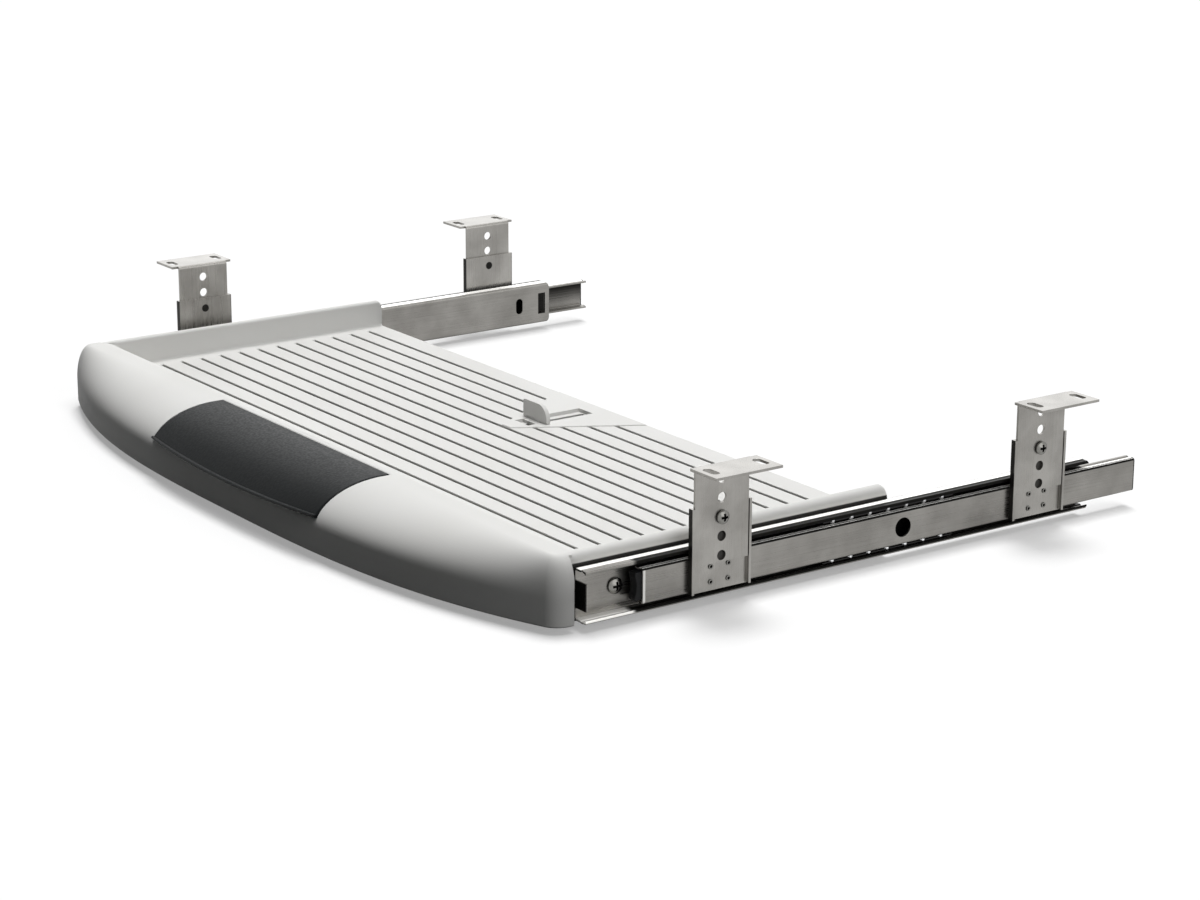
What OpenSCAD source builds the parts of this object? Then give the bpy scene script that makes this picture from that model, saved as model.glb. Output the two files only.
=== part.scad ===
/* [Tray] */
// Width of the tray between the two slides
tray_w = 530; // [480:1:620]
// Thickness of each side wall of the tray
wall_t = 6; // [5:0.5:9]
// Radius on the inner top edge of a side wall
wall_inner_r = 2; // [1:0.5:2.5]
// Height of the rim above the middle of the slides
rim_rise = 21.5; // [19:0.1:26]
// Depth of the pan, from the rim down to the deck
pan_depth = 17.2; // [12:0.1:22]
// Thickness of the deck
deck_t = 3; // [2.5:0.1:4]
// Distance from the bracket centre line back to the rear edge of the deck
deck_rear = 13; // [5:1:40]
// How far the foot of the walls lies below the middle of the slides
foot_fall = 15.2; // [14.5:0.1:20]
// Number of grooves across the deck
groove_n = 12; // [4:1:16]
// Width of a groove
groove_w = 2.4; // [1:0.1:3]
// Depth of a groove
groove_depth = 1.6; // [0.6:0.1:1.8]
// Distance from the rear edge of the deck to the last groove
groove_rear = 16.8; // [12:0.1:30]
// Distance from the foot of the slope to the first groove
groove_front = 5.55; // [3:0.05:12]
// Distance from a side wall to the end of a groove
groove_end = 9; // [4:0.5:20]
// Height of the stiffening ribs under the deck
rib_h = 4; // [2:0.5:8]
// Thickness of the ribs and of the rear skirt
rib_t = 2.4; // [1.5:0.1:4]
// Height of the skirt under the rear edge
skirt_h = 8; // [4:0.5:14]

/* [Palm rest] */
// Distance from the rear face of the palm rest to its foremost point
palm_depth = 52.5; // [46:0.5:70]
// How far the front falls back at the ends of the palm rest
palm_bow = 36.5; // [20:0.5:38]
// How far each end of the palm rest reaches over its slide
ear_reach = 6; // [3:0.5:9]
// Radius of the front corners seen from above
corner_r = 12; // [10:0.5:14]
// Width of the level strip along the top of the palm rest
crest_w = 9; // [5:0.5:14]
// Height of the rounded top, from the rim down to the upright front
roll_h = 22; // [16:0.5:26]
// Least depth of the rounded edge, at the ends
roll_min = 9; // [6:0.5:9.5]
// Length of the slope from the palm rest down to the deck
ramp_len = 31; // [20:1:32]
// Wall of the hollow palm rest
palm_wall = 5; // [4.5:0.5:6]

/* [Palm pad] */
// Width of the palm pad
pad_w = 189; // [120:1:260]
// Distance from the rear face of the palm rest to the rear edge of the pad
pad_rear = 2.5; // [1.5:0.5:5]
// How far the pad runs over the rounded top, in degrees
pad_sweep = 76; // [60:1:80]
// How much further the front edge of the pad runs in the middle, in degrees
pad_bow = 6; // [0:1:8]
// Thickness of the pad in its pocket
pad_t = 2.4; // [1.5:0.1:2.8]
// How far the pad stands above the palm rest
pad_proud = 0.3; // [0.1:0.1:1]
// How far the front lip stands proud in the middle
pad_lip = 4.2; // [0.5:0.1:5]
// Share of the lip that is lost towards the ends of the pad
pad_lip_fade = 0.7; // [0:0.05:0.9]
// How sharply the lip curls up: higher keeps it nearer the front edge
pad_lip_curl = 9; // [2:1:14]
// Clearance round the pad
pad_gap = 0.2; // [0.1:0.05:0.4]

/* [Keyboard stop] */
// Width of the upright tab
tab_w = 25; // [20:0.5:34]
// Height of the tab above the deck panel
tab_h = 11; // [6:0.5:20]
// Thickness of the tab
tab_t = 2.8; // [2:0.1:4]
// Large radius on the right top corner of the tab
tab_big_r = 9; // [3:0.5:10]
// Small radius on the left top corner of the tab
tab_small_r = 2; // [1:0.5:4]
// Width of the recess that the stop slides in
recess_w = 14.4; // [10:0.1:18]
// Length of the recess
recess_len = 47.5; // [36:0.5:52]
// Depth of the recess
recess_depth = 2.2; // [1.6:0.1:2.6]
// Distance from the rear edge of the deck to the recess
recess_rear = 13.4; // [8:0.2:16]
// Thickness of the recess floor
recess_floor = 2.2; // [1.6:0.1:3]
// Width of the through slot in the recess floor
neck_slot_w = 5; // [4:0.1:7]
// Length of the shoe that slides in the recess
shoe_len = 10; // [8:0.5:14]
// Distance of the stop from the front end of its slot at rest
stop_rest = 6.2; // [1:0.1:20]
// Clearance round the sliding stop
stop_gap = 0.2; // [0.1:0.05:0.4]
// Thickness of the clip under the deck
clip_t = 1.6; // [1:0.1:2.5]
// Height of the raised panel round the recess
panel_h = 0.6; // [0.3:0.1:1]
// Half width of the raised panel at its front end
panel_front_half = 4.6; // [3:0.1:12]
// Half width of the raised panel at the rear edge
panel_rear_half = 46; // [24:1:80]
// Distance from the recess to the front end of the panel
panel_lead = 11; // [4:0.5:16]

/* [Slides] */
// Length of the channels and of the rails
slide_len = 350; // [330:1:450]
// Distance from the bracket centre line back to the middle of the rails
rail_mid = 15; // [0:1:30]
// How far the channels stand out in front of the rails in the photo pose
rest_pull = 35; // [25:1:60]
// Thickness of a slide, from the tray to its bracket
slide_t = 11.5; // [11:0.1:14]
// Sheet thickness of channel and rail
slide_sheet = 1.2; // [1:0.05:1.4]
// Outside height of the desk rail
rail_h = 19.6; // [18:0.1:22]
// Diameter of the balls
ball_d = 4; // [3.6:0.05:4.4]
// How deep the balls sit in each race
race_depth = 0.45; // [0.3:0.05:0.6]
// Clearance between a ball and its race
ball_gap = 0.1; // [0.05:0.01:0.15]
// Number of balls in each row
ball_n = 7; // [4:1:7]
// Distance between balls
ball_pitch = 12.9; // [8:0.1:13]
// Sheet thickness of the ball cage
cage_sheet = 0.6; // [0.4:0.05:0.8]
// Length of cage beyond the outer balls
cage_end = 7.3; // [4:0.1:8]
// Distance from the bracket centre line back to the middle of the cage
cage_mid = 6.8; // [0:0.1:8]
// How far the front bumper stands out of its rail
bumper_out = 4; // [2:0.5:6]
// Length of the bumper inside its rail
bumper_in = 9; // [6:0.5:14]
// Diameter of the access hole in the middle of each rail
access_d = 11; // [8:0.5:11.5]

/* [Brackets] */
// Distance between the front and the rear brackets
bracket_pitch = 224; // [180:1:256]
// Sheet thickness of hangers and guides
bracket_sheet = 1.5; // [1.2:0.1:2]
// Length of a hanger flange along the slide
flange_len = 43; // [41:0.5:50]
// Width of a hanger flange
flange_w = 24; // [22:0.5:30]
// Width of the hanger plate
plate_w = 35; // [30:0.5:40]
// Length of plate below the last height hole
plate_tail = 3.6; // [3.5:0.1:10]
// Clearance of the plate in its guide
guide_gap = 0.3; // [0.1:0.05:0.5]
// Depth of the guide's folded sides, beyond its web
guide_side = 2; // [1.5:0.5:5]
// Height of the guides above their height screws
guide_head = 6.9; // [5:0.1:8]
// Diameter of the height holes
height_hole_d = 5.5; // [5.2:0.1:6]
// Distance between height holes
height_pitch = 10.45; // [9:0.05:14]
// Level of the first height hole below the desk
height_first = 8.7; // [7:0.1:12]
// Number of height holes
height_n = 5; // [4:1:7]
// Which height hole takes the screw, counted from the top
height_at = 3; // [2:1:4]
// Length of a flange slot
slot_len = 11; // [8:0.5:13]
// Width of a flange slot
slot_w = 5; // [4:0.1:6]
// Distance from the end of a flange to the middle of its slot
slot_edge = 5.5; // [4:0.1:8]
// How far the slots lie outside the middle of the flange
slot_shift = 0.5; // [0:0.1:1]

/* [Fasteners] */
// Clearance of the height screws in their holes
height_hole_gap = 0.5; // [0.2:0.1:1]
// Head diameter of the height screws
height_head_d = 7.6; // [7.5:0.1:10]
// Head diameter of the tray screws
tray_head_d = 8.8; // [7.5:0.1:10]
// Head height of all screws
screw_head_h = 2.8; // [2:0.1:3.2]
// Shank diameter of the tray screws
tray_screw_d = 4; // [3:0.1:4.5]
// Length of the tray screws below the head
tray_screw_len = 13; // [10:0.5:16]
// Distance of the first tray screw from the front end of its channel
tray_screw_front = 24.4; // [16:0.1:30]
// Distance between the two tray screws
tray_screw_pitch = 92; // [60:1:94]
// Clearance of every fastener in its hole
fastener_gap = 0.05; // [0.02:0.01:0.1]
// Shank diameter of the rivets
rivet_d = 2.2; // [1.8:0.1:2.6]
// Head diameter of the rivets
rivet_head_d = 3; // [2.8:0.1:3.6]
// Head height of the rivets
rivet_head_h = 0.6; // [0.4:0.05:0.8]
// Diameter of the hollow in the rivets' outer heads
rivet_bore_d = 1.6; // [1:0.1:1.6]
// Depth of that hollow
rivet_bore_depth = 0.9; // [0.5:0.1:1.2]
// Distance between rivets along the rail
rivet_pitch_y = 11.6; // [9:0.1:14]
// Clearance between the rivet heads and the folds of the rail
rivet_edge = 1.6; // [0.3:0.1:2.5]
// Clearance between a hanger plate and the rivet heads below it
rivet_clear = 0.4; // [0.4:0.1:2]
// Distance of the rivets' middle below the middle of the slide
rivet_drop = 0.9; // [0.3:0.1:2]

/* [Hidden] */
$fn = 64;
cut = 1;
bend_r = 1.6;

// Levels, from the hangers down to the slides and the tray
plate_h = height_first + (height_n - 1) * height_pitch + plate_tail;
rivet_pitch_z = rail_h - 2 * (bend_r + rivet_head_d / 2 + rivet_drop + rivet_edge);
rivet_z = -plate_h - rivet_clear - rivet_head_d / 2 - rivet_pitch_z / 2;
slide_z = rivet_z + rivet_drop;
rim_z = slide_z + rim_rise;
deck_z = rim_z - pan_depth;
deck_under = deck_z - deck_t;
foot_z = slide_z - foot_fall;

// Places across the tray
tray_half = tray_w / 2;
pan_half = tray_half - wall_t;
ear_half = tray_half + ear_reach;
rail_face = tray_half + slide_t;
plate_face = rail_face + bracket_sheet;
plate_out = plate_face + bracket_sheet;

// Places along the slide
rail_front = rail_mid - slide_len / 2;
channel_front = rail_front - rest_pull;
channel_rear = channel_front + slide_len;
ear_gap = 1;
palm_rear = channel_front - ear_gap;
palm_front = palm_rear - palm_depth;
ridge_y = palm_rear - crest_w;
ramp_foot = palm_rear + ramp_len;
shoulder_z = rim_z - roll_h;
hollow_step = 0.5;
hollow_lap = 4;

// Section of a slide, measured from the tray side and from its middle
ball_z = rail_h / 2 + ball_d / 2 - race_depth;
race_r = ball_d / 2 + ball_gap;
channel_inner = ball_z + ball_d / 2 - race_depth;
channel_h = 2 * (channel_inner + slide_sheet);
lip_clear = 1;
lip_lift = 1.45;
lip_out = slide_t - lip_clear;
lip_in = ball_z + lip_lift;
ball_clear = 0.3;
ball_x = lip_out - slide_sheet - ball_clear - ball_d / 2;
rail_leg = 2.8;
rail_in = ball_x - rail_leg;
cage_x = 2;
cage_out = ball_x + ball_d / 2 - ball_gap;
cage_len = (ball_n - 1) * ball_pitch + 2 * cage_end;
cage_pocket_d = ball_d + 4 * ball_gap;
ridge_wall = 0.95;

// Stops folded out of each channel
front_stop_in = 2.5;
front_stop_half = rail_h / 2 - front_stop_in;
front_stop_out = slide_t - slide_sheet;
rear_stop_in = 2.4;
rear_stop_half = rail_h / 2 - rear_stop_in;
rear_stop_out = rail_in - ball_gap;
rear_hole_from = 3.4;
rear_hole_w = 5.9;
oblong_w = 5.5;
oblong_len = 11;
oblong_from = 25.3;
heel_r = 5;

// Guide and rivets
guide_foot = slide_z - rail_h / 2;
guide_in_half = plate_w / 2 + guide_gap;
guide_half = guide_in_half + bracket_sheet;
screw_z = -height_first - (height_at - 1) * height_pitch;
height_screw_d = height_hole_d - height_hole_gap;
hanger_bend_r = bracket_sheet + 0.5;
slot_out = flange_w / 2 + slot_shift;
slot_pitch = flange_len - 2 * slot_edge;

// Deck, keyboard stop and its panel
groove_pitch = (deck_rear - groove_rear - ramp_foot - groove_front) / (groove_n - 1);
recess_back = deck_rear - recess_rear;
recess_front = recess_back - recess_len;
panel_front = recess_front - panel_lead;
panel_z = deck_z + panel_h;
recess_z = panel_z - recess_depth;
floor_z = recess_z - recess_floor;
stop_y = recess_front + stop_rest + shoe_len / 2;
neck_w = neck_slot_w - 2 * stop_gap;
neck_len = shoe_len - 2;
clip_w = recess_w;
clip_len = shoe_len + 2;
clip_hole_gap = 0.1;

tray_grey = "#dcdad6";
pad_grey = "#3b4043";
zinc = "#a9aaa7";
bright_steel = "#c9cbcc";
rubber_black = "#1c1d1f";

SIDES = ["left", "right"];

// Extrudes a section drawn in X and Z along the slide
module along_y(y0, y1) {
    translate([0, y1, 0]) rotate([90, 0, 0]) linear_extrude(y1 - y0) children();
}

// Extrudes a section drawn in Y and Z across the tray
module along_x(x0, x1) {
    translate([x0, 0, 0]) rotate([90, 0, 90]) linear_extrude(x1 - x0) children();
}

// A box between two corners
module box(a, b) {
    translate(a) cube(b - a);
}

// A rod along X between two places
module rod_x(x0, x1, y, z, d) {
    translate([x0, y, z]) rotate([0, 90, 0]) cylinder(h = x1 - x0, d = d);
}

// Draws its children on the right, or mirrored on the left
module on_side(side) {
    if (side == "left") mirror([1, 0, 0]) children();
    else children();
}

// A rectangle with rounded corners
module round_rect(x0, x1, y0, y1, r) {
    translate([x0 + r, y0]) square([x1 - x0 - 2 * r, y1 - y0]);
    translate([x0, y0 + r]) square([x1 - x0, y1 - y0 - 2 * r]);
    for (x = [x0 + r, x1 - r])
        for (y = [y0 + r, y1 - r])
            translate([x, y]) circle(r);
}

// A slot with round ends along its own X
module round_slot(len, w) {
    translate([w / 2 - len / 2, -w / 2]) square([len - w, w]);
    for (x = [w / 2 - len / 2, len / 2 - w / 2])
        translate([x, 0]) circle(d = w);
}

// The front of the palm rest seen from above
function bow_half() = ear_half - corner_r / 2;
function front_y(x) = palm_front + palm_bow * pow(abs(x) / bow_half(), 3);
function front_slope(x) = atan(3 * palm_bow * pow(abs(x) / bow_half(), 2) / bow_half());
function corner_x(a) = ear_half - corner_r + corner_r * sin(a);
corner_a = front_slope(corner_x(front_slope(corner_x(20))));
corner_start = corner_x(corner_a);
corner_mid_y = front_y(corner_start) + corner_r * cos(corner_a);

// Right half of the outline: its points, each with the inward direction and the depth of the rounded top
function half_outline(front_n, corner_n) = concat(
    [for (i = [0 : front_n - 1])
        let (x = corner_start * i / front_n, a = front_slope(x))
        [[x, front_y(x)], [-sin(a), cos(a)], max(roll_min, (ridge_y - front_y(x)) / cos(a))]],
    [for (i = [0 : corner_n])
        let (a = corner_a + (90 - corner_a) * i / corner_n)
        [[corner_x(a), corner_mid_y - corner_r * cos(a)], [-sin(a), cos(a)], roll_min]],
    [[[ear_half, palm_rear], [-1, 0], roll_min]]
);

// Whole outline, from the right rear end round the front to the left
function flip(p) = [[-p[0][0], p[0][1]], [-p[1][0], p[1][1]], p[2]];
function outline(front_n, corner_n) =
    let (h = half_outline(front_n, corner_n), n = len(h))
    concat([for (i = [n - 1 : -1 : 0]) h[i]], [for (i = [1 : n - 1]) flip(h[i])]);

// One upright section of the palm rest, from the crest over the top to the foot
function palm_column(p, roll_n) = concat(
    [for (j = [0 : roll_n])
        let (t = 90 * j / roll_n, q = p[0] + p[1] * p[2] * (1 - sin(t)))
        [q[0], q[1], shoulder_z + roll_h * cos(t)]],
    [[p[0][0], p[0][1], foot_z]]
);

// Outside of the palm rest
module palm_form(front_n, corner_n, roll_n) {
    line = outline(front_n, corner_n);
    cols = len(line);
    rows = roll_n + 2;
    points = [for (p = line) each palm_column(p, roll_n)];
    skin = [for (i = [0 : cols - 2]) for (j = [0 : rows - 2])
        let (a = i * rows + j, b = a + rows)
        each [[a, a + 1, b], [a + 1, b + 1, b]]];
    crest = [for (i = [0 : cols - 1]) i * rows];
    foot = [for (i = [cols - 1 : -1 : 0]) i * rows + rows - 1];
    rear = concat([for (j = [rows - 1 : -1 : 0]) j], [for (j = [0 : rows - 1]) (cols - 1) * rows + j]);
    polyhedron(points, concat(skin, [crest, foot, rear]), convexity = 6);
}

// Hollow under the palm rest, swept from side to side
module palm_hollow(across_n, roll_n) {
    half = pan_half - hollow_step;
    rear_y = palm_rear + hollow_lap;
    low = foot_z - cut;
    function loop(x) =
        let (y = front_y(x) + palm_wall / cos(front_slope(x)))
        concat(
            [[x, rear_y, low], [x, rear_y, rim_z - palm_wall]],
            [for (j = [0 : roll_n])
                let (t = 90 * j / roll_n)
                [x, ridge_y - (ridge_y - y) * sin(t), shoulder_z + (roll_h - palm_wall) * cos(t)]],
            [[x, y, low]]
        );
    m = roll_n + 4;
    points = [for (i = [0 : across_n]) each loop(half * (2 * i / across_n - 1))];
    skin = [for (i = [0 : across_n - 1]) for (j = [0 : m - 1])
        let (a = i * m + j, b = i * m + (j + 1) % m)
        each [[a, a + m, b], [b, a + m, b + m]]];
    left = [for (j = [0 : m - 1]) j];
    right = [for (j = [m - 1 : -1 : 0]) across_n * m + j];
    polyhedron(points, concat(skin, [left, right]), convexity = 6);
}

// A point of the rounded top over X, at an angle round it, lifted off the surface
function top_point(x, t, lift) =
    let (d = ridge_y - front_y(x), v = [roll_h * sin(t), d * cos(t)], n = v / norm(v))
    [x, ridge_y - d * sin(t) - lift * n[0], shoulder_z + roll_h * cos(t) + lift * n[1]];

// Angle round the top at which the pad ends over X
function pad_end(x) = pad_sweep + pad_bow * (1 - pow(2 * x / pad_w, 2));

// How far the pad stands proud at a place across it and an angle round the top
function pad_lift(x, t) =
    pad_proud + pad_lip * pow(t / pad_end(x), pad_lip_curl) * (1 - pad_lip_fade * pow(2 * x / pad_w, 2));

// The pad's curved slab between two lifts; grow widens it all round
module pad_form(low, high, grow, across_n, round_n) {
    half = pad_w / 2 + grow;
    pocket_past = 2;
    past_end = grow > 0 ? pocket_past : 0;
    rear_y = palm_rear - pad_rear + grow;
    xs = [for (i = [0 : across_n]) half * (2 * i / across_n - 1)];
    function row(x, lift, top) = concat(
        [[x, rear_y, rim_z + (top ? min(lift, high) : lift)]],
        [for (j = [0 : round_n])
            let (t = (pad_end(x) + past_end) * j / round_n)
            top_point(x, t, top ? lift + pad_extra(x, t, grow) : lift)]
    );
    function pad_extra(x, t, g) = g > 0 ? 0 : pad_lift(x, t) - pad_proud;
    m = round_n + 2;
    points = concat([for (x = xs) each row(x, high, true)], [for (x = xs) each row(x, low, false)]);
    base = (across_n + 1) * m;
    skin = [for (i = [0 : across_n - 1]) for (j = [0 : m - 2])
        let (a = i * m + j, b = a + m)
        each [[a, b, a + 1], [a + 1, b, b + 1], [base + a, base + a + 1, base + b],
            [base + a + 1, base + b + 1, base + b]]];
    rims = [for (i = [0 : across_n - 1])
        let (a = i * m, b = a + m, c = a + m - 1, d = b + m - 1)
        each [[a, base + a, b], [b, base + a, base + b], [c, d, base + c], [d, base + d, base + c]]];
    ends = [for (j = [0 : m - 2])
        let (a = j, b = across_n * m + j)
        each [[a, a + 1, base + a], [a + 1, base + a + 1, base + a], [b, base + b, b + 1],
            [b + 1, base + b, base + b + 1]]];
    polyhedron(points, concat(skin, rims, ends), convexity = 6);
}

// Section of a side wall with its rounded top, measured from the pan
module wall_section() {
    outer_r = wall_t - wall_inner_r;
    translate([0, foot_z]) square([wall_t, rim_z - outer_r - foot_z]);
    translate([0, foot_z]) square([wall_inner_r, rim_z - wall_inner_r - foot_z]);
    translate([wall_inner_r, rim_z - wall_inner_r]) circle(wall_inner_r);
    intersection() {
        translate([wall_inner_r, rim_z - outer_r]) circle(outer_r);
        translate([wall_inner_r, rim_z - outer_r]) square(outer_r);
    }
}

// Slope from the palm rest down to the deck
module ramp_section() {
    steps = 12;
    top = [for (i = [0 : steps])
        let (f = i / steps)
        [palm_rear + ramp_len * f, rim_z - pan_depth * (1 - cos(180 * f)) / 2]];
    head_t = palm_wall - 1;
    under = [[ramp_foot, deck_under], [palm_rear + ramp_len / 2, deck_under], [palm_rear, rim_z - head_t]];
    polygon(concat(top, under));
}

// Raised panel seen from above
module panel_outline() {
    polygon([
        [-panel_front_half, panel_front], [panel_front_half, panel_front],
        [panel_rear_half, deck_rear], [-panel_rear_half, deck_rear]
    ]);
}

module groove_set() {
    for (i = [0 : groove_n - 1])
        translate([0, deck_rear - groove_rear - i * groove_pitch, deck_z - groove_depth])
            linear_extrude(groove_depth + cut) round_slot(2 * (pan_half - groove_end), groove_w);
}

module tray_screw_places() {
    for (i = [0, 1]) translate([0, channel_front + tray_screw_front + i * tray_screw_pitch, 0]) children();
}

module tray_shell() {
    boss_w = 12;
    boss_drop = 7;
    boss_cover = 2;
    boss_top = max(deck_under, slide_z + tray_screw_d / 2 + boss_cover);
    rib_place = 0.36;
    pocket_over = 4;
    pilot_spare = 0.5;
    pilot_d = tray_screw_d + 2 * fastener_gap;
    pilot_to = tray_half - tray_screw_len;
    color(tray_grey) difference() {
        union() {
            palm_form(24, 6, 10);
            for (side = SIDES) on_side(side)
                translate([pan_half, 0, 0]) along_y(palm_rear, deck_rear) wall_section();
            difference() {
                box([-pan_half, ramp_foot, deck_under], [pan_half, deck_rear, deck_z]);
                groove_set();
            }
            along_x(-pan_half, pan_half) ramp_section();
            translate([0, 0, deck_under]) linear_extrude(panel_z - deck_under) panel_outline();
            box([-pan_half, deck_rear - rib_t, deck_under - skirt_h], [pan_half, deck_rear, deck_under]);
            for (i = [-2 : 2])
                if (i != 0)
                    translate([i * pan_half * rib_place - rib_t / 2, ramp_foot, deck_under - rib_h])
                        cube([rib_t, deck_rear - ramp_foot, rib_h]);
            box(
                [-recess_w / 2 - rib_t, recess_front - rib_t, floor_z],
                [recess_w / 2 + rib_t, recess_back + rib_t, deck_under]
            );
            for (side = SIDES) on_side(side) tray_screw_places()
                box(
                    [pilot_to - rib_t, -boss_w / 2, slide_z - boss_drop],
                    [pan_half, boss_w / 2, boss_top]
                );
        }
        palm_hollow(24, 6);
        pad_form(-pad_t - pad_gap, pocket_over, pad_gap, 12, 8);
        box([-recess_w / 2, recess_front, recess_z], [recess_w / 2, recess_back, panel_z + cut]);
        box(
            [-neck_slot_w / 2, recess_front + (shoe_len - neck_len) / 2, floor_z - cut],
            [neck_slot_w / 2, recess_back - (shoe_len - neck_len) / 2, recess_z + cut]
        );
        for (side = SIDES) on_side(side) tray_screw_places()
            rod_x(pilot_to - pilot_spare, tray_half + cut, 0, slide_z, pilot_d);
    }
}

module palm_pad() {
    color(pad_grey) pad_form(-pad_t, pad_proud, 0, 24, 10);
}

module keyboard_stop() {
    tab_z = panel_z + stop_gap;
    color(tray_grey) translate([0, stop_y, 0]) {
        along_y(-tab_t / 2, tab_t / 2) {
            translate([-tab_w / 2, tab_z]) square([tab_w - tab_big_r, tab_h - tab_small_r]);
            translate([-tab_w / 2 + tab_small_r, tab_z]) square([tab_w - tab_big_r - tab_small_r, tab_h]);
            translate([-tab_w / 2, tab_z]) square([tab_w, tab_h - tab_big_r]);
            translate([-tab_w / 2 + tab_small_r, tab_z + tab_h - tab_small_r]) circle(tab_small_r);
            translate([tab_w / 2 - tab_big_r, tab_z + tab_h - tab_big_r]) intersection() {
                circle(tab_big_r);
                square(tab_big_r);
            }
        }
        box(
            [-recess_w / 2 + stop_gap, -tab_t / 2, recess_z + stop_gap],
            [recess_w / 2 - stop_gap, tab_t / 2, tab_z]
        );
        box(
            [-recess_w / 2 + stop_gap, -shoe_len / 2, recess_z + stop_gap],
            [recess_w / 2 - stop_gap, shoe_len / 2, panel_z - stop_gap]
        );
        box(
            [-neck_w / 2, -neck_len / 2 + stop_gap, floor_z - stop_gap - clip_t],
            [neck_w / 2, neck_len / 2 - stop_gap, recess_z + stop_gap]
        );
    }
}

module stop_clip() {
    hole_w = neck_w + 2 * clip_hole_gap;
    hole_len = neck_len - 2 * stop_gap + 2 * clip_hole_gap;
    color(tray_grey) translate([0, stop_y, 0]) difference() {
        box(
            [-clip_w / 2, -clip_len / 2, floor_z - stop_gap - clip_t],
            [clip_w / 2, clip_len / 2, floor_z - stop_gap]
        );
        box(
            [-hole_w / 2, -hole_len / 2, floor_z - cut - stop_gap - clip_t],
            [hole_w / 2, hole_len / 2, floor_z]
        );
    }
}

// Half of a slide section is drawn above the middle and mirrored below it
module above_and_below() {
    children();
    mirror([0, 1]) children();
}

module channel_section() {
    lip_top = channel_h / 2 - slide_sheet / 2;
    difference() {
        union() {
            difference() {
                round_rect(0, lip_out + bend_r, -channel_h / 2, channel_h / 2, bend_r);
                round_rect(
                    slide_sheet, lip_out + 2 * bend_r, -channel_inner, channel_inner, bend_r - slide_sheet
                );
                translate([lip_out - slide_sheet / 2, -channel_h]) square([2 * bend_r, 2 * channel_h]);
            }
            above_and_below() {
                translate([lip_out - slide_sheet, lip_in]) square([slide_sheet, lip_top - lip_in]);
                translate([lip_out - slide_sheet / 2, lip_top]) circle(d = slide_sheet);
                translate([lip_out - slide_sheet / 2, lip_in]) circle(d = slide_sheet);
                intersection() {
                    translate([ball_x, ball_z]) circle(race_r + ridge_wall);
                    translate([ball_x - race_r - ridge_wall, channel_inner])
                        square(2 * (race_r + ridge_wall));
                }
            }
        }
        above_and_below() translate([ball_x, ball_z]) circle(race_r);
    }
}

module tray_channel(side) {
    rear_hole = channel_rear - rear_hole_from - rear_hole_w;
    color(zinc) on_side(side) translate([tray_half, 0, slide_z]) {
        difference() {
            along_y(channel_front, channel_rear) channel_section();
            tray_screw_places() rod_x(-cut, slide_sheet + cut, 0, 0, tray_screw_d + 4 * fastener_gap);
            translate([slide_sheet / 2, channel_rear - oblong_from, 0])
                rotate([0, 90, 0]) linear_extrude(2 * slide_sheet, center = true)
                    round_slot(oblong_len, oblong_w);
            box(
                [-cut, rear_hole, -rear_stop_half],
                [slide_sheet + cut, rear_hole + rear_hole_w, rear_stop_half]
            );
            for (s = [-1, 1]) heel_cut(s);
        }
        box(
            [0, channel_front, -front_stop_half],
            [front_stop_out, channel_front + slide_sheet, front_stop_half]
        );
        box([0, rear_hole - slide_sheet, -rear_stop_half], [rear_stop_out, rear_hole, rear_stop_half]);
    }
}

// Rounds a rear corner of a channel
module heel_cut(s) {
    z = s * (channel_h / 2 + slide_sheet);
    mid = [channel_rear - heel_r, s * (channel_h / 2 + slide_sheet - heel_r)];
    along_x(-cut, lip_out + 2 * slide_sheet) difference() {
        translate([channel_rear - heel_r, min(z, mid[1])]) square([heel_r + cut, heel_r]);
        translate(mid) circle(heel_r);
    }
}

module rail_section() {
    difference() {
        union() {
            difference() {
                round_rect(rail_in - bend_r, slide_t, -rail_h / 2, rail_h / 2, bend_r);
                round_rect(
                    rail_in - 2 * bend_r, slide_t - slide_sheet,
                    slide_sheet - rail_h / 2, rail_h / 2 - slide_sheet, bend_r - slide_sheet
                );
                translate([rail_in - 2 * bend_r, -rail_h]) square([2 * bend_r, 2 * rail_h]);
            }
            above_and_below() intersection() {
                translate([ball_x, ball_z]) circle(race_r + ridge_wall);
                translate([rail_in, ball_z - 2 * race_r])
                    square([2 * race_r, 2 * race_r - ball_z + rail_h / 2]);
            }
        }
        above_and_below() translate([ball_x, ball_z]) circle(race_r);
    }
}

module desk_rail(side) {
    color(zinc) on_side(side) difference() {
        translate([tray_half, 0, slide_z]) along_y(rail_front, rail_front + slide_len) rail_section();
        rod_x(rail_face - 2 * slide_sheet, rail_face + cut, rail_mid, slide_z, access_d);
        for (end = [-1, 1]) rivet_places(end)
            rod_x(rail_face - slide_sheet - cut, rail_face + cut, 0, 0, rivet_d + 2 * fastener_gap);
    }
}

// Place of a ball along the slide
function ball_y(i) = cage_mid + (i - (ball_n - 1) / 2) * ball_pitch;

module ball_row(side, up) {
    color(bright_steel) on_side(side)
        for (i = [0 : ball_n - 1])
            translate([tray_half + ball_x, ball_y(i), slide_z + up * ball_z]) sphere(d = ball_d);
}

module ball_cage(side) {
    leaf = ball_z + cage_sheet / 2;
    color(bright_steel) on_side(side) translate([tray_half, 0, slide_z]) difference() {
        along_y(cage_mid - cage_len / 2, cage_mid + cage_len / 2) difference() {
            translate([cage_x, -leaf]) square([cage_out - cage_x, 2 * leaf]);
            translate([cage_x + cage_sheet, cage_sheet - leaf]) square([cage_out, 2 * (leaf - cage_sheet)]);
        }
        for (i = [0 : ball_n - 1])
            translate([ball_x, ball_y(i), 0]) cylinder(h = 3 * ball_z, d = cage_pocket_d, center = true);
    }
}

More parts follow.
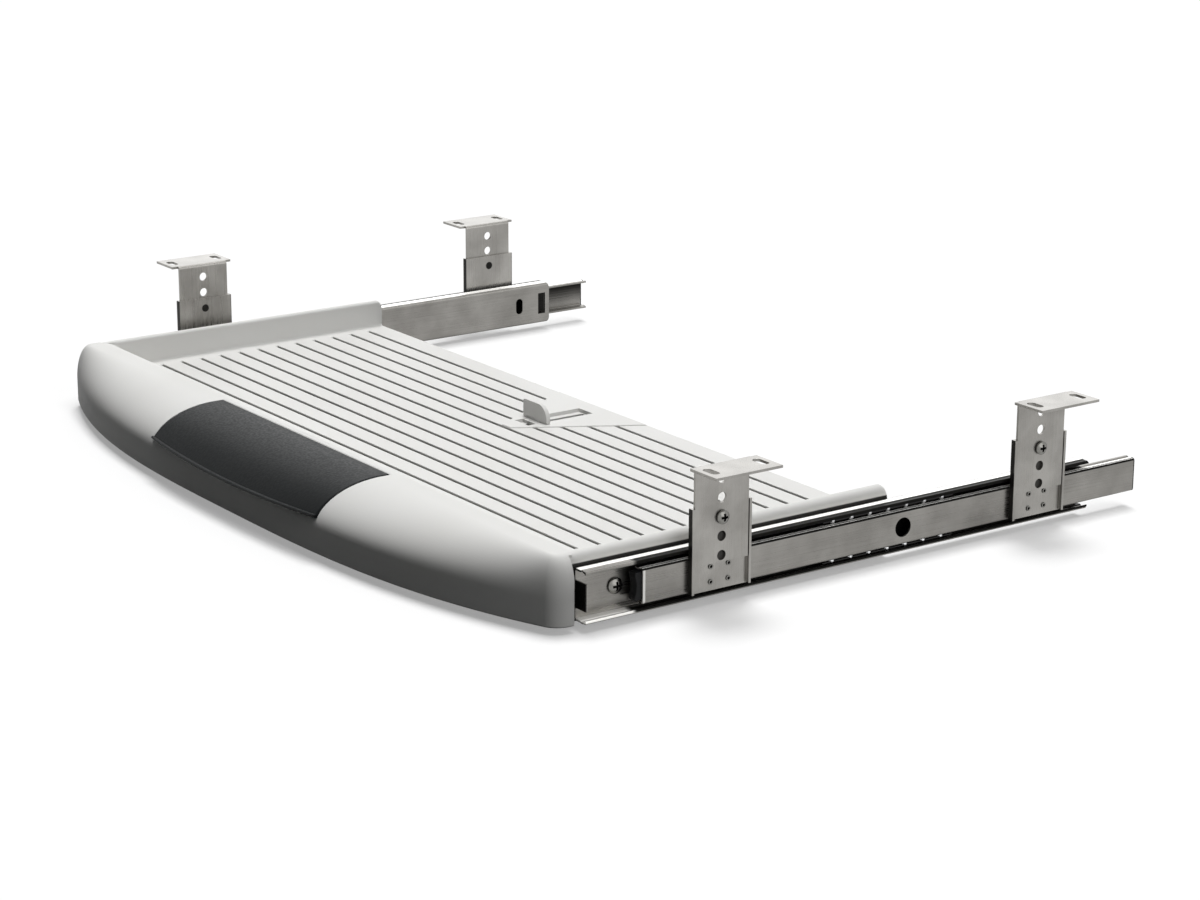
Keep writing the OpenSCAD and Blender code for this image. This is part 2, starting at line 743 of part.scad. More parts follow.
module rail_bumper(side) {
    gap = 0.1;
    screw_clear = 0.3;
    half = rail_h / 2 - slide_sheet - ridge_wall;
    inner = slide_sheet + screw_head_h + screw_clear;
    dish_r = 14;
    dish_depth = 1;
    front = rail_front - bumper_out;
    color(rubber_black) on_side(side) translate([tray_half, 0, slide_z]) difference() {
        box([inner, front, -half], [slide_t - slide_sheet - gap, rail_front + bumper_in, half]);
        translate([0, front - dish_r + dish_depth, 0])
            rotate([0, 90, 0]) cylinder(h = 2 * slide_t, r = dish_r);
    }
}

// A pan head with a cross recess, facing along X, its shank behind it
module pan_screw(head_d, shank_d, shank_len) {
    dome_r = head_d * 3 / 4;
    cross_w = 1.2;
    cross_len = head_d * 0.55;
    cross_from = screw_head_h * 0.35;
    rotate([0, 90, 0]) difference() {
        union() {
            intersection() {
                cylinder(h = screw_head_h, d = head_d);
                translate([0, 0, screw_head_h - dome_r]) sphere(dome_r);
            }
            translate([0, 0, -shank_len]) cylinder(h = shank_len + screw_head_h / 4, d = shank_d);
        }
        for (a = [0, 90]) rotate([0, 0, a])
            translate([-cross_len / 2, -cross_w / 2, cross_from]) cube([cross_len, cross_w, screw_head_h]);
    }
}

module tray_screws(side) {
    color(bright_steel) on_side(side) tray_screw_places()
        translate([tray_half + slide_sheet, 0, slide_z]) pan_screw(tray_head_d, tray_screw_d, tray_screw_len);
}

// Middle of a bracket: end is -1 at the front and 1 at the rear
module at_bracket(end) {
    translate([0, end * bracket_pitch / 2, 0]) children();
}

module rivet_places(end) {
    at_bracket(end)
        for (y = [-1, 1]) for (z = [-1, 1])
            translate([0, y * rivet_pitch_y / 2, rivet_z + z * rivet_pitch_z / 2]) children();
}

module hanger(side, end) {
    color(zinc) on_side(side) at_bracket(end) translate([plate_face, 0, 0]) difference() {
        union() {
            along_y(-plate_w / 2, plate_w / 2) {
                translate([0, -plate_h]) square([bracket_sheet, plate_h - hanger_bend_r]);
                bend_section();
            }
            along_y(-flange_len / 2, flange_len / 2)
                translate([hanger_bend_r, -bracket_sheet]) square([flange_w - hanger_bend_r, bracket_sheet]);
        }
        for (i = [0 : height_n - 1])
            rod_x(-cut, bracket_sheet + cut, 0, -height_first - i * height_pitch, height_hole_d);
        for (y = [-1, 1])
            translate([slot_out, y * slot_pitch / 2, -bracket_sheet - cut])
                linear_extrude(bracket_sheet + 2 * cut) round_slot(slot_len, slot_w);
    }
}

// Rounded fold between plate and flange
module bend_section() {
    intersection() {
        difference() {
            translate([hanger_bend_r, -hanger_bend_r]) circle(hanger_bend_r);
            translate([hanger_bend_r, -hanger_bend_r]) circle(hanger_bend_r - bracket_sheet);
        }
        translate([0, -hanger_bend_r]) square(hanger_bend_r);
    }
}

module guide(side, end) {
    depth = bracket_sheet + guide_side;
    guide_top = screw_z + guide_head;
    color(zinc) on_side(side) difference() {
        at_bracket(end) translate([rail_face, 0, guide_foot])
            linear_extrude(guide_top - guide_foot) difference() {
                translate([0, -guide_half]) square([depth, 2 * guide_half]);
                translate([bracket_sheet, -guide_in_half]) square([depth, 2 * guide_in_half]);
            }
        at_bracket(end)
            rod_x(rail_face - cut, plate_face + cut, 0, screw_z, height_screw_d + 2 * fastener_gap);
        rivet_places(end) rod_x(rail_face - cut, plate_face + cut, 0, 0, rivet_d + 2 * fastener_gap);
    }
}

module height_screw(side, end) {
    color(bright_steel) on_side(side) at_bracket(end)
        translate([plate_out, 0, screw_z]) pan_screw(height_head_d, height_screw_d, 2 * bracket_sheet);
}

module rivets(side, end) {
    inner = rail_face - slide_sheet;
    outer = plate_face + rivet_head_h;
    color(bright_steel) on_side(side) rivet_places(end) difference() {
        union() {
            rod_x(inner - rivet_head_h, outer, 0, 0, rivet_d);
            rod_x(inner - rivet_head_h, inner, 0, 0, rivet_head_d);
            rod_x(plate_face, outer, 0, 0, rivet_head_d);
        }
        rod_x(outer - rivet_bore_depth, outer + cut, 0, 0, rivet_bore_d);
    }
}

tray_shell();
palm_pad();
keyboard_stop();
stop_clip();
for (side = SIDES) {
    tray_channel(side);
    desk_rail(side);
    ball_cage(side);
    ball_row(side, 1);
    ball_row(side, -1);
    rail_bumper(side);
    tray_screws(side);
    for (end = [-1, 1]) {
        name = str(side, end < 0 ? "_front_" : "_rear_");
        hanger(side, end);
        guide(side, end);
        height_screw(side, end);
        rivets(side, end);
    }
}
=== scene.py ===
import math

import bmesh
import bpy
from mathutils import Matrix, Vector


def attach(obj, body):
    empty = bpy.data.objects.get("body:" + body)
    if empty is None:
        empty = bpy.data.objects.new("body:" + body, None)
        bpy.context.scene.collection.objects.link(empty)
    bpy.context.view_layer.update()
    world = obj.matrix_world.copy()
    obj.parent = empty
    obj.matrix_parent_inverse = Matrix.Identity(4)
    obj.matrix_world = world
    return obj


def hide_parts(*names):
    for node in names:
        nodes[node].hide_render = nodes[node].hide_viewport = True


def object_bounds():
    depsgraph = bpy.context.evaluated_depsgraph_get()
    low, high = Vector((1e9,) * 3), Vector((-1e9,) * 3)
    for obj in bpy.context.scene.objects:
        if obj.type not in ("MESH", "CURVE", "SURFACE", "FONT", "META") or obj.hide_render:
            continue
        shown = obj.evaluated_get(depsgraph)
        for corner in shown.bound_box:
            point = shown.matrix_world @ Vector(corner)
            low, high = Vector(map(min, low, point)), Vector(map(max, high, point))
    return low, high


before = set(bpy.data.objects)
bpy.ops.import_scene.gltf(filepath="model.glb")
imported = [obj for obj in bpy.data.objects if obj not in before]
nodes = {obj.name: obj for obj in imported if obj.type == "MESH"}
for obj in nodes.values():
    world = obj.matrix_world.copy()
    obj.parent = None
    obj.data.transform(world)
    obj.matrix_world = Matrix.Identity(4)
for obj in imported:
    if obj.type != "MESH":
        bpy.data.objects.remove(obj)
cadBox = [list(corner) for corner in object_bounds()]
scene = bpy.context.scene
mm = 0.001
print("frame loaded,", len(nodes), "nodes")


def linear(hexText):
    values = [int(hexText[i:i + 2], 16) / 255 for i in (1, 3, 5)]
    return [v / 12.92 if v <= 0.04045 else ((v + 0.055) / 1.055) ** 2.4 for v in values] + [1.0]


# a node's settings go by name; its inputs take a value or the socket that feeds them
def addNode(tree, kind, inputs=None, **settings):
    made = tree.nodes.new("ShaderNode" + kind)
    for name, value in settings.items():
        setattr(made, name, value)
    for name, value in (inputs or {}).items():
        if isinstance(value, bpy.types.NodeSocket):
            tree.links.new(value, made.inputs[name])
        else:
            made.inputs[name].default_value = value
    return made


def newMaterial(name):
    material = bpy.data.materials.new(name)
    material.use_nodes = True
    tree = material.node_tree
    tree.nodes.clear()
    place = addNode(tree, "TexCoord").outputs["Object"]
    return material, tree, place


def closeMaterial(tree, shader):
    addNode(tree, "OutputMaterial", {"Surface": shader.outputs[0]})


# two colours mixed by a share; each is an sRGB hex text or a socket
def mixColour(tree, share, first, second):
    ends = [linear(c) if isinstance(c, str) else c for c in (first, second)]
    return addNode(tree, "Mix", {0: share, 6: ends[0], 7: ends[1]}, data_type="RGBA").outputs[2]


def mixNumber(tree, share, first, second):
    return addNode(tree, "Mix", {0: share, 2: first, 3: second}, data_type="FLOAT").outputs[0]


# noise with spots of a size in millimetres
def noise(tree, place, size, detail=3.0):
    return addNode(tree, "TexNoise", {"Vector": place, "Scale": 1 / (size * mm), "Detail": detail}).outputs[0]


# a pattern's span of values, spread over the roughness of a finish
def roughness(tree, pattern, look):
    low, high = look["span"]
    limits = {1: low, 2: high, 3: look["roughLow"], 4: look["roughHigh"]}
    return addNode(tree, "MapRange", {0: pattern, **limits}).outputs[0]


def bumpFrom(tree, pattern, look, **settings):
    inputs = {"Height": pattern, "Strength": look["bump"], "Distance": look["bumpDeep"] * mm}
    return addNode(tree, "Bump", inputs, **settings).outputs[0]


# strongest share of some boxes at a place: each box has its low end, high end and fade in millimetres
# for x (alike on the left and the right), y and z, and then its share
def boxMask(tree, place, boxes):
    split = addNode(tree, "SeparateXYZ", {0: place}).outputs
    side = addNode(tree, "Math", {0: split[0]}, operation="ABSOLUTE").outputs[0]
    most = 0.0
    for *limits, share in boxes:
        mask = share
        for value, (low, high, fade) in zip((side, split[1], split[2]), limits):
            rise = addNode(tree, "MapRange", {0: value, 1: (low - fade) * mm, 2: low * mm})
            fall = addNode(tree, "MapRange", {0: value, 1: high * mm, 2: (high + fade) * mm, 3: 1.0, 4: 0.0})
            inside = addNode(tree, "Math", {0: rise.outputs[0], 1: fall.outputs[0]}, operation="MULTIPLY")
            mask = addNode(tree, "Math", {0: mask, 1: inside.outputs[0]}, operation="MULTIPLY").outputs[0]
        most = addNode(tree, "Math", {0: most, 1: mask}, operation="MAXIMUM").outputs[0]
    return most


# 1 for rays from the camera, a reflection or glass, and 0 for rays that carry light
def seenRay(tree):
    path = addNode(tree, "LightPath").outputs
    seen = path["Is Camera Ray"]
    for other in ("Is Glossy Ray", "Is Transmission Ray"):
        seen = addNode(tree, "Math", {0: seen, 1: path[other]}, operation="MAXIMUM").outputs[0]
    return seen


# camera, solved from the photograph: 1200 x 900 pixels, no shift
camera = {
    "place": (1.45303, -1.02909, 0.43936),
    "right": (0.5808, 0.8140, 0.0041),
    "up": (-0.2299, 0.1593, 0.9601),
    "back": (0.7809, -0.5586, 0.2797),
    "lens": 90.75,
    "sensor": 36.0,
    "clipNear": 0.05,
    "clipFar": 50,
}
cameraData = bpy.data.cameras.new("photoCamera")
cameraData.sensor_fit = "HORIZONTAL"
cameraData.sensor_width = camera["sensor"]
cameraData.lens = camera["lens"]
cameraData.clip_start = camera["clipNear"]
cameraData.clip_end = camera["clipFar"]
cameraObject = bpy.data.objects.new("photoCamera", cameraData)
scene.collection.objects.link(cameraObject)
turn = Matrix([camera["right"], camera["up"], camera["back"]]).transposed().to_4x4()
cameraObject.matrix_world = Matrix.Translation(camera["place"]) @ turn
scene.camera = cameraObject
scene.view_settings.view_transform = "Standard"

# white sweep: bright to the camera and in the metal, dimmer as a source of light
sweep = {"size": 14.0, "gap": 0.0042, "paper": "#d2d2d2", "bounce": "#252525", "lift": 0.33,
         "sky": "#282a2b", "skySeen": "#ffffff"}
floorMesh = bpy.data.meshes.new("floor")
half = sweep["size"] / 2
floorZ = cadBox[0][2] - sweep["gap"]
floorCorners = [(-half, -half, floorZ), (half, -half, floorZ), (half, half, floorZ), (-half, half, floorZ)]
floorMesh.from_pydata(floorCorners, [], [(0, 1, 2, 3)])
floorObject = bpy.data.objects.new("floor", floorMesh)
scene.collection.objects.link(floorObject)
paper, tree, place = newMaterial("whitePaperSweep")
seen = seenRay(tree)
lift = addNode(tree, "Math", {0: seen, 1: sweep["lift"]}, operation="MULTIPLY")
matt = addNode(tree, "BsdfDiffuse", {"Color": mixColour(tree, seen, sweep["bounce"], sweep["paper"])})
glow = addNode(tree, "Emission", {"Strength": lift.outputs[0]})
closeMaterial(tree, addNode(tree, "AddShader", {0: matt.outputs[0], 1: glow.outputs[0]}))
floorMesh.materials.append(paper)

world = bpy.data.worlds.new("studio")
scene.world = world
world.use_nodes = True
tree = world.node_tree
tree.nodes.clear()
skyTone = mixColour(tree, seenRay(tree), sweep["sky"], sweep["skySeen"])
sky = addNode(tree, "Background", {"Color": skyTone, "Strength": 1.0})
addNode(tree, "OutputWorld", {"Surface": sky.outputs[0]})

# broad soft light from above, with weaker light from behind on the left and from the right
lamps = {
    "softKey": {"from": (-0.2, 0.17, 1.0), "strength": 2.05, "angle": 24},
    "softTop": {"from": (0.32, 0.06, 1.0), "strength": 1.05, "angle": 32},
    "backRim": {"from": (-0.8, 0.55, 0.42), "strength": 0.4, "angle": 45},
    "sideFill": {"from": (1.0, 0.25, 0.35), "strength": 0.58, "angle": 50},
}
for name, lamp in lamps.items():
    sun = bpy.data.lights.new(name, "SUN")
    sun.energy = lamp["strength"]
    sun.angle = math.radians(lamp["angle"])
    sunObject = bpy.data.objects.new(name, sun)
    sunObject.rotation_mode = "QUATERNION"
    sunObject.rotation_quaternion = Vector(lamp["from"]).to_track_quat("Z", "Y")
    scene.collection.objects.link(sunObject)
print("camera, sweep and light set")

# moulded ABS, spark-eroded mould: matt, pale grey, a fine grain that only softens the highlights;
# painted shade darkens the groove bottoms and the outer faces of the walls at the joint with the slides, so
# those read as dark lines
plastic = {
    "pale": "#dddddb", "dull": "#d5d4d1", "grooveShade": "#6c6a65", "jointShade": "#232220",
    "cloud": 70, "grain": 0.9, "grainDetail": 2.0, "span": (0.3, 0.7), "roughLow": 0.48, "roughHigh": 0.6,
    "bump": 0.12, "bumpDeep": 0.2, "ior": 1.54, "specular": 0.14,
    # painted shade in the groove bottoms
    "grooveShadeLies": [((-1, 252, 0.5), (-163, -59.5, 0.5), (-57.7, -56.1, 0.5), 1.0),
                 ((8, 252, 0.5), (-60, 12, 0.5), (-57.7, -56.1, 0.5), 1.0)],
    # painted shade on the outer faces of the side walls, at the joint with the slides
    "jointShadeLies": [((264.7, 266, 0.5), (-197.9, 13, 0.5), (-75, -43.7, 0.5), 1.0)],
}
mouldedAbs, tree, place = newMaterial("mouldedAbs")
grain = noise(tree, place, plastic["grain"], plastic["grainDetail"])
cloud = noise(tree, place, plastic["cloud"])
shade = mixColour(tree, cloud, plastic["dull"], plastic["pale"])
# painted shade: the groove bottoms and the joint with the slides are darkened
for shadeKind in ("grooveShade", "jointShade"):
    shade = mixColour(tree, boxMask(tree, place, plastic[shadeKind + "Lies"]), shade, plastic[shadeKind])
closeMaterial(tree, addNode(tree, "BsdfPrincipled", {
    "Base Color": shade, "Roughness": roughness(tree, grain, plastic),
    "Normal": bumpFrom(tree, grain, plastic), "IOR": plastic["ior"],
    "Specular IOR Level": plastic["specular"]}))

# moulded soft rubber skin over foam: charcoal, satin, a pebbled grain that breaks the light
pad = {"dark": "#0e1112", "paler": "#1a1c1d", "cloud": 45, "cloudDetail": 4.0, "pebble": 1.3,
       "span": (0.1, 0.6), "roughLow": 0.34, "roughHigh": 0.48, "bump": 0.25, "bumpDeep": 0.2,
       "ior": 1.42, "specular": 0.09}
softRubber, tree, place = newMaterial("softRubberSkin")
pebbleInputs = {"Vector": place, "Scale": 1 / (pad["pebble"] * mm)}
pebble = addNode(tree, "TexVoronoi", pebbleInputs, feature="SMOOTH_F1").outputs[0]
cloud = noise(tree, place, pad["cloud"], pad["cloudDetail"])
closeMaterial(tree, addNode(tree, "BsdfPrincipled", {
    "Base Color": mixColour(tree, cloud, pad["dark"], pad["paler"]),
    "Roughness": roughness(tree, pebble, pad), "Normal": bumpFrom(tree, pebble, pad, invert=True),
    "IOR": pad["ior"], "Specular IOR Level": pad["specular"]}))

# zinc-plated rolled steel: mid grey, soft mirror, cloudy plating over faint rolling lines; painted highlights
# make some folds and edges bright;
# a near-black film draws black lines: grease with painted shade in the races, painted shade and painted
# reflection on the lips and folds of the slides, where the cages run, in the corners of the guides and behind
# the height holes
wholeRun = (-400, 400, 1)
behindRailFront = (-163, 400, 3)
raceZ = (-50.1, -45.8, 0.4)
zinc = {
    "slide": ("#7c7a76", "#8f8d89"), "sheet": ("#888682", "#9d9b97"), "greaseAndShade": "#171614", "paler": "#eae9e6",
    "cloud": 22, "cloudDetail": 5.0, "line": 0.7, "lineRun": 60, "lineDetail": 3.0, "fade": (0.36, 0.64),
    "span": (0.3, 0.7), "roughLow": 0.24, "roughHigh": 0.36, "highlightRough": 0.65,
    "bump": 0.08, "bumpDeep": 0.1, "greaseAndShadeGloss": 0.05,
    # painted highlights: upper fold; lower lip ahead of the rail
    "channelHighlight": [((267.2, 271.4, 0.5), wholeRun, (-45.5, -44.9, 0.2), 1.0),
                    ((266.6, 276, 0.3), (-400, -165, 3), (-72.6, -70, 0.3), 1.0)],
    # painted highlights: upper fold; front edge
    "railHighlight": [((273, 275.75, 0.1), wholeRun, (-49.9, -49.3, 0.1), 1.0),
                 ((275, 277, 0.1), (-161, -158.8, 0.4), (-68.5, -50.6, 0.3), 0.6)],
    # painted shade and painted reflection, with grease in the races: upper lip; upper race; lower race and
    # lip; front stop
    "channelGreaseAndShade": [((271.8, 276, 0.5), behindRailFront, (-50.1, -44.5, 0.3), 1.0),
                    ((268.5, 274.6, 0.4), wholeRun, raceZ, 1.0),
                    ((268.5, 276, 0.4), behindRailFront, (-72.5, -68.5, 0.3), 1.0),
                    ((266.4, 275.2, 0.4), (-195.5, -194.6, 0.4), (-67, -51.6, 0.4), 1.0)],
    # painted shade, with grease in the races: upper race; lower race; upper fold; top of the inner side;
    # inner side where the cage runs; rear end
    "railGreaseAndShade": [((266, 272, 0.4), (-400, 152, 1), raceZ, 1.0),
                 ((266, 274.6, 0.4), (-400, 152, 1), (-72.8, -68.5, 0.4), 1.0),
                 ((275.85, 276.6, 0.15), wholeRun, (-50.7, -49.8, 0.15), 1.0),
                 ((274.9, 275.5, 0.2), wholeRun, (-53, -45, 13), 0.9),
                 ((274.9, 275.5, 0.2), (-400, 157, 4), (-68, -50, 0.5), 0.88),
                 ((270, 277, 0.2), (189.4, 191, 0.2), (-69.3, -49.3, 0.2), 0.9)],
    # painted shade: corners; behind the height holes
    "guidePaintedShade": [((276, 279.5, 0.2), (y - 0.25, y + 0.25, 0.15), (-75, -20, 1), 0.85)
                  for y in (-131.3, -92.7, 92.7, 131.3)] +
                 [((277.5, 278.15, 0.15), (y - 6, y + 6, 0.5), (-53.4, -25, 0.5), 0.75) for y in (-112, 112)],
}


# run is the axis of the rolling lines, share their part of the pattern
def zincSteel(name, run, share, tones, greaseAndShadeBoxes, highlightBoxes):
    material, tree, place = newMaterial(name)
    scale = [1 / (zinc["line"] * mm)] * 3
    scale[run] = 1 / (zinc["lineRun"] * mm)
    along = addNode(tree, "Mapping", {"Vector": place, "Scale": scale}).outputs[0]
    lineInputs = {"Vector": along, "Scale": 1.0, "Detail": zinc["lineDetail"]}
    lines = addNode(tree, "TexNoise", lineInputs).outputs[0]
    both = mixNumber(tree, share, noise(tree, place, zinc["cloud"], zinc["cloudDetail"]), lines)
    fade = addNode(tree, "MapRange", {0: both, 1: zinc["fade"][0], 2: zinc["fade"][1]}).outputs[0]
    shade = mixColour(tree, fade, *tones)
    rough = roughness(tree, lines, zinc)
    # painted highlights: some folds and edges are made pale and rougher
    if highlightBoxes:
        paler = boxMask(tree, place, highlightBoxes)
        shade = mixColour(tree, paler, shade, zinc["paler"])
        rough = mixNumber(tree, paler, rough, zinc["highlightRough"])
    # near-black film: grease in the races, painted shade and painted reflection elsewhere
    film = boxMask(tree, place, greaseAndShadeBoxes)
    bare = addNode(tree, "MapRange", {0: film, 3: 1.0, 4: 0.0}).outputs[0]
    closeMaterial(tree, addNode(tree, "BsdfPrincipled", {
        "Base Color": mixColour(tree, film, shade, zinc["greaseAndShade"]), "Metallic": bare, "Roughness": rough,
        "Specular IOR Level": zinc["greaseAndShadeGloss"], "Normal": bumpFrom(tree, lines, zinc)}))
    return material


# the slides are drawn along their length and a little darker; the brackets are rolled along their height
zincChannel = zincSteel("zincPlatedChannel", 1, 0.25, zinc["slide"], zinc["channelGreaseAndShade"], zinc["channelHighlight"])
zincRail = zincSteel("zincPlatedRail", 1, 0.25, zinc["slide"], zinc["railGreaseAndShade"], zinc["railHighlight"])
zincSheet = zincSteel("zincPlatedSheet", 2, 0.12, zinc["sheet"], zinc["guidePaintedShade"], [])

# bright-zinc screws and rivets: cleaner and more mirror-like than the sheet, small turning marks;
# painted shade under their heads, in the crosses and in the hollow rivets draws dark rings, crosses and dots
heightScrewZ = (-40, -20, 1)
slideZ = (-80, -45, 1)
screw = {
    "dull": "#6b6a66", "bright": "#8f8e8a", "screwShade": "#0f0f0e", "mark": 1.2, "span": (0.3, 0.7),
    "roughLow": 0.14, "roughHigh": 0.26, "screwShadeGloss": 0.05,
    # painted shade: hollow rivets; under the heads and at the ends of the height screws; under the heads of
    # the tray screws
    "screwShadeLies": [((277.4, 278.35, 0.1), wholeRun, slideZ, 1.0),
                 ((279.3, 279.9, 0.2), wholeRun, heightScrewZ, 1.0),
                 ((276.2, 276.9, 0.2), wholeRun, heightScrewZ, 0.9),
                 ((266, 266.7, 0.2), wholeRun, slideZ, 1.0)],
    # x, y and z of each cross, and its reach
    "crosses": [(280.3, -112, -29.6, 2.1), (280.3, 112, -29.6, 2.1),
                (267, -170.6, -59.3, 2.45), (267, -78.6, -59.3, 2.45)],
    "crossHalf": 0.66, "crossFade": 0.04, "crossDeep": 2.5, "crossDeepFade": 0.1, "crossShare": 0.9,
}
for x, y, z, reach in screw["crosses"]:
    for halfY, halfZ in ((screw["crossHalf"], reach), (reach, screw["crossHalf"])):
        screw["screwShadeLies"].append(((x, x + screw["crossDeep"], screw["crossDeepFade"]),
                                  (y - halfY, y + halfY, screw["crossFade"]),
                                  (z - halfZ, z + halfZ, screw["crossFade"]), screw["crossShare"]))
screwZinc, tree, place = newMaterial("brightZincScrew")
marks = noise(tree, place, screw["mark"])
# painted shade under the heads, in the crosses and in the hollow rivets
screwShade = boxMask(tree, place, screw["screwShadeLies"])
shade = mixColour(tree, screwShade, mixColour(tree, marks, screw["dull"], screw["bright"]), screw["screwShade"])
bare = addNode(tree, "MapRange", {0: screwShade, 3: 1.0, 4: 0.0}).outputs[0]
closeMaterial(tree, addNode(tree, "BsdfPrincipled", {
    "Base Color": shade, "Metallic": bare, "Roughness": roughness(tree, marks, screw),
    "Specular IOR Level": screw["screwShadeGloss"]}))

# polished ball steel: bright mirror with a film of grease that dulls it in patches
ball = {"dull": "#a9aaab", "bright": "#d0d1d2", "film": 5, "span": (0.35, 0.65),
        "roughLow": 0.1, "roughHigh": 0.26}
ballSteel, tree, place = newMaterial("polishedBallSteel")
film = noise(tree, place, ball["film"])
closeMaterial(tree, addNode(tree, "BsdfPrincipled", {
    "Base Color": mixColour(tree, film, ball["dull"], ball["bright"]), "Metallic": 1.0,
    "Roughness": roughness(tree, film, ball)}))

# black cage steel: near black and satin, so that the balls show as bright dots in a dark race
cage = {"dark": "#121212", "paler": "#1f1e1d", "film": 7, "span": (0.35, 0.65),
        "roughLow": 0.34, "roughHigh": 0.5, "specular": 0.3}
cageSteel, tree, place = newMaterial("blackCageSteel")
film = noise(tree, place, cage["film"])
closeMaterial(tree, addNode(tree, "BsdfPrincipled", {
    "Base Color": mixColour(tree, film, cage["dark"], cage["paler"]), "Roughness": roughness(tree, film, cage),
    "Specular IOR Level": cage["specular"]}))

# black moulded rubber bumper: dull, faint bloom
bumper = {"black": "#060708", "bloom": "#0d0e10", "cloud": 6, "grain": 0.8, "grainDetail": 2.0,
          "span": (0.3, 0.7), "roughLow": 0.5, "roughHigh": 0.68, "bump": 0.15, "bumpDeep": 0.2,
          "ior": 1.52, "specular": 0.2}
bumperRubber, tree, place = newMaterial("blackBumperRubber")
cloud = noise(tree, place, bumper["cloud"])
grain = noise(tree, place, bumper["grain"], bumper["grainDetail"])
closeMaterial(tree, addNode(tree, "BsdfPrincipled", {
    "Base Color": mixColour(tree, cloud, bumper["black"], bumper["bloom"]),
    "Roughness": roughness(tree, grain, bumper), "Normal": bumpFrom(tree, grain, bumper),
    "IOR": bumper["ior"], "Specular IOR Level": bumper["specular"]}))
print("materials made")


# mesh from points in millimetres, with its faces turned outward
def solidFrom(name, points, faces):
    mesh = bpy.data.meshes.new(name)
    mesh.from_pydata([(x * mm, y * mm, z * mm) for x, y, z in points], [], faces)
    work = bmesh.new()
    work.from_mesh(mesh)
    bmesh.ops.recalc_face_normals(work, faces=work.faces)
    work.to_mesh(mesh)
    work.free()
    made = bpy.data.objects.new(name, mesh)
    scene.collection.objects.link(made)
    return made


def evaluated(made):
    bpy.context.view_layer.update()
    mesh = bpy.data.meshes.new_from_object(made.evaluated_get(bpy.context.evaluated_depsgraph_get()))
    made.modifiers.clear()
    made.data = mesh


def combine(base, other, operation):
    step = base.modifiers.new("combine", "BOOLEAN")
    step.operation = operation
    step.solver = "EXACT"
    step.object = other
    evaluated(base)
    bpy.data.objects.remove(other)


# drops points that a cut leaves on an almost straight edge between two faces, so that they form no slivers
def dropIdlePoints(made, most):
    work = bmesh.new()
    work.from_mesh(made.data)
    idle = {}
    for point in work.verts:
        ends = [edge.other_vert(point) for edge in point.link_edges]
        if len(ends) != 2 or any(end.index in idle for end in ends):
            continue
        along = (ends[1].co - ends[0].co).normalized()
        if (point.co - ends[0].co).cross(along).length < most * mm:
            idle[point.index] = point
    bmesh.ops.dissolve_verts(work, verts=list(idle.values()))
    work.to_mesh(made.data)
    work.free()


# closed skin over rows of equal length, each row a closed loop, capped at both ends
def sweepLoops(name, loops):
    count = len(loops[0])
    last = (len(loops) - 1) * count
    faces = [(r + k, r + (k + 1) % count, r + count + (k + 1) % count, r + count + k)
             for r in range(0, last, count) for k in range(count)]
    faces += [tuple(range(count)), tuple(range(last, last + count))]
    return solidFrom(name, [p for loop in loops for p in loop], faces)


def block(name, low, high):
    loops = [[(x, low[1], low[2]), (x, high[1], low[2]), (x, high[1], high[2]), (x, low[1], high[2])]
             for x in (low[0], high[0])]
    return sweepLoops(name, loops)


# angles of a quarter turn in equal steps
def quarter(steps):
    return [math.pi / 2 * i / steps for i in range(steps + 1)]


def smoothShade(made, degrees):
    for face in made.data.polygons:
        face.use_smooth = True
    made.data.set_sharp_from_angle(angle=math.radians(degrees))


def weighNormals(made):
    weigh = made.modifiers.new("flatten", "WEIGHTED_NORMAL")
    weigh.keep_sharp = True


# tray shell, in millimetres, the same form as its solid with finer curves and rounded edges
tray = {
    "half": 265, "wall": 6, "rim": -37.85, "deck": -55, "under": -58, "foot": -74.5, "rear": 13,
    "palmRear": -196, "palmFront": -248.5, "bow": 36.5, "ear": 271, "corner": 12, "ridge": -205,
    "crest": -37.8, "roll": 22, "rollLeast": 9, "earEdge": 1.5, "earShort": 2.2, "footEdge": 1.0,
    "cornerGuess": 20, "cornerTries": 3, "frontColumns": 96, "cornerColumns": 14, "edgeColumns": 5,
    "rollRows": 30, "footRows": 4, "past": 2, "idle": 0.02, "sharp": 32,
}
bowHalf = tray["ear"] - tray["corner"] / 2
shoulder = tray["crest"] - tray["roll"]
pan = tray["half"] - tray["wall"]


def frontY(x):
    return tray["palmFront"] + tray["bow"] * (abs(x) / bowHalf) ** 3


def frontSlope(x):
    return math.atan(3 * tray["bow"] * (abs(x) / bowHalf) ** 2 / bowHalf)


# right half of the palm rest's outline: each place with the crest point that it rolls up to
def palmOutline():
    centreX = tray["ear"] - tray["corner"]
    start = math.radians(tray["cornerGuess"])
    for _ in range(tray["cornerTries"]):
        start = frontSlope(centreX + tray["corner"] * math.sin(start))
    startX = centreX + tray["corner"] * math.sin(start)
    centreY = frontY(startX) + tray["corner"] * math.cos(start)
    line = []
    for i in range(tray["frontColumns"]):
        x = startX * i / tray["frontColumns"]
        a = frontSlope(x)
        depth = max(tray["rollLeast"], (tray["ridge"] - frontY(x)) / math.cos(a))
        line.append(((x, frontY(x)), (x - depth * math.sin(a), frontY(x) + depth * math.cos(a))))
    inner = tray["corner"] - tray["rollLeast"]
    for i in range(tray["cornerColumns"] + 1):
        a = start + (math.pi / 2 - start) * i / tray["cornerColumns"]
        line.append(((centreX + tray["corner"] * math.sin(a), centreY - tray["corner"] * math.cos(a)),
                     (centreX + inner * math.sin(a), centreY - inner * math.cos(a))))
    edge = tray["earEdge"]
    for a in quarter(tray["edgeColumns"]):
        y = tray["palmRear"] - edge + edge * math.sin(a)
        line.append(((tray["ear"] - edge + edge * math.cos(a), y), (tray["ear"] - tray["rollLeast"], y)))
    return line


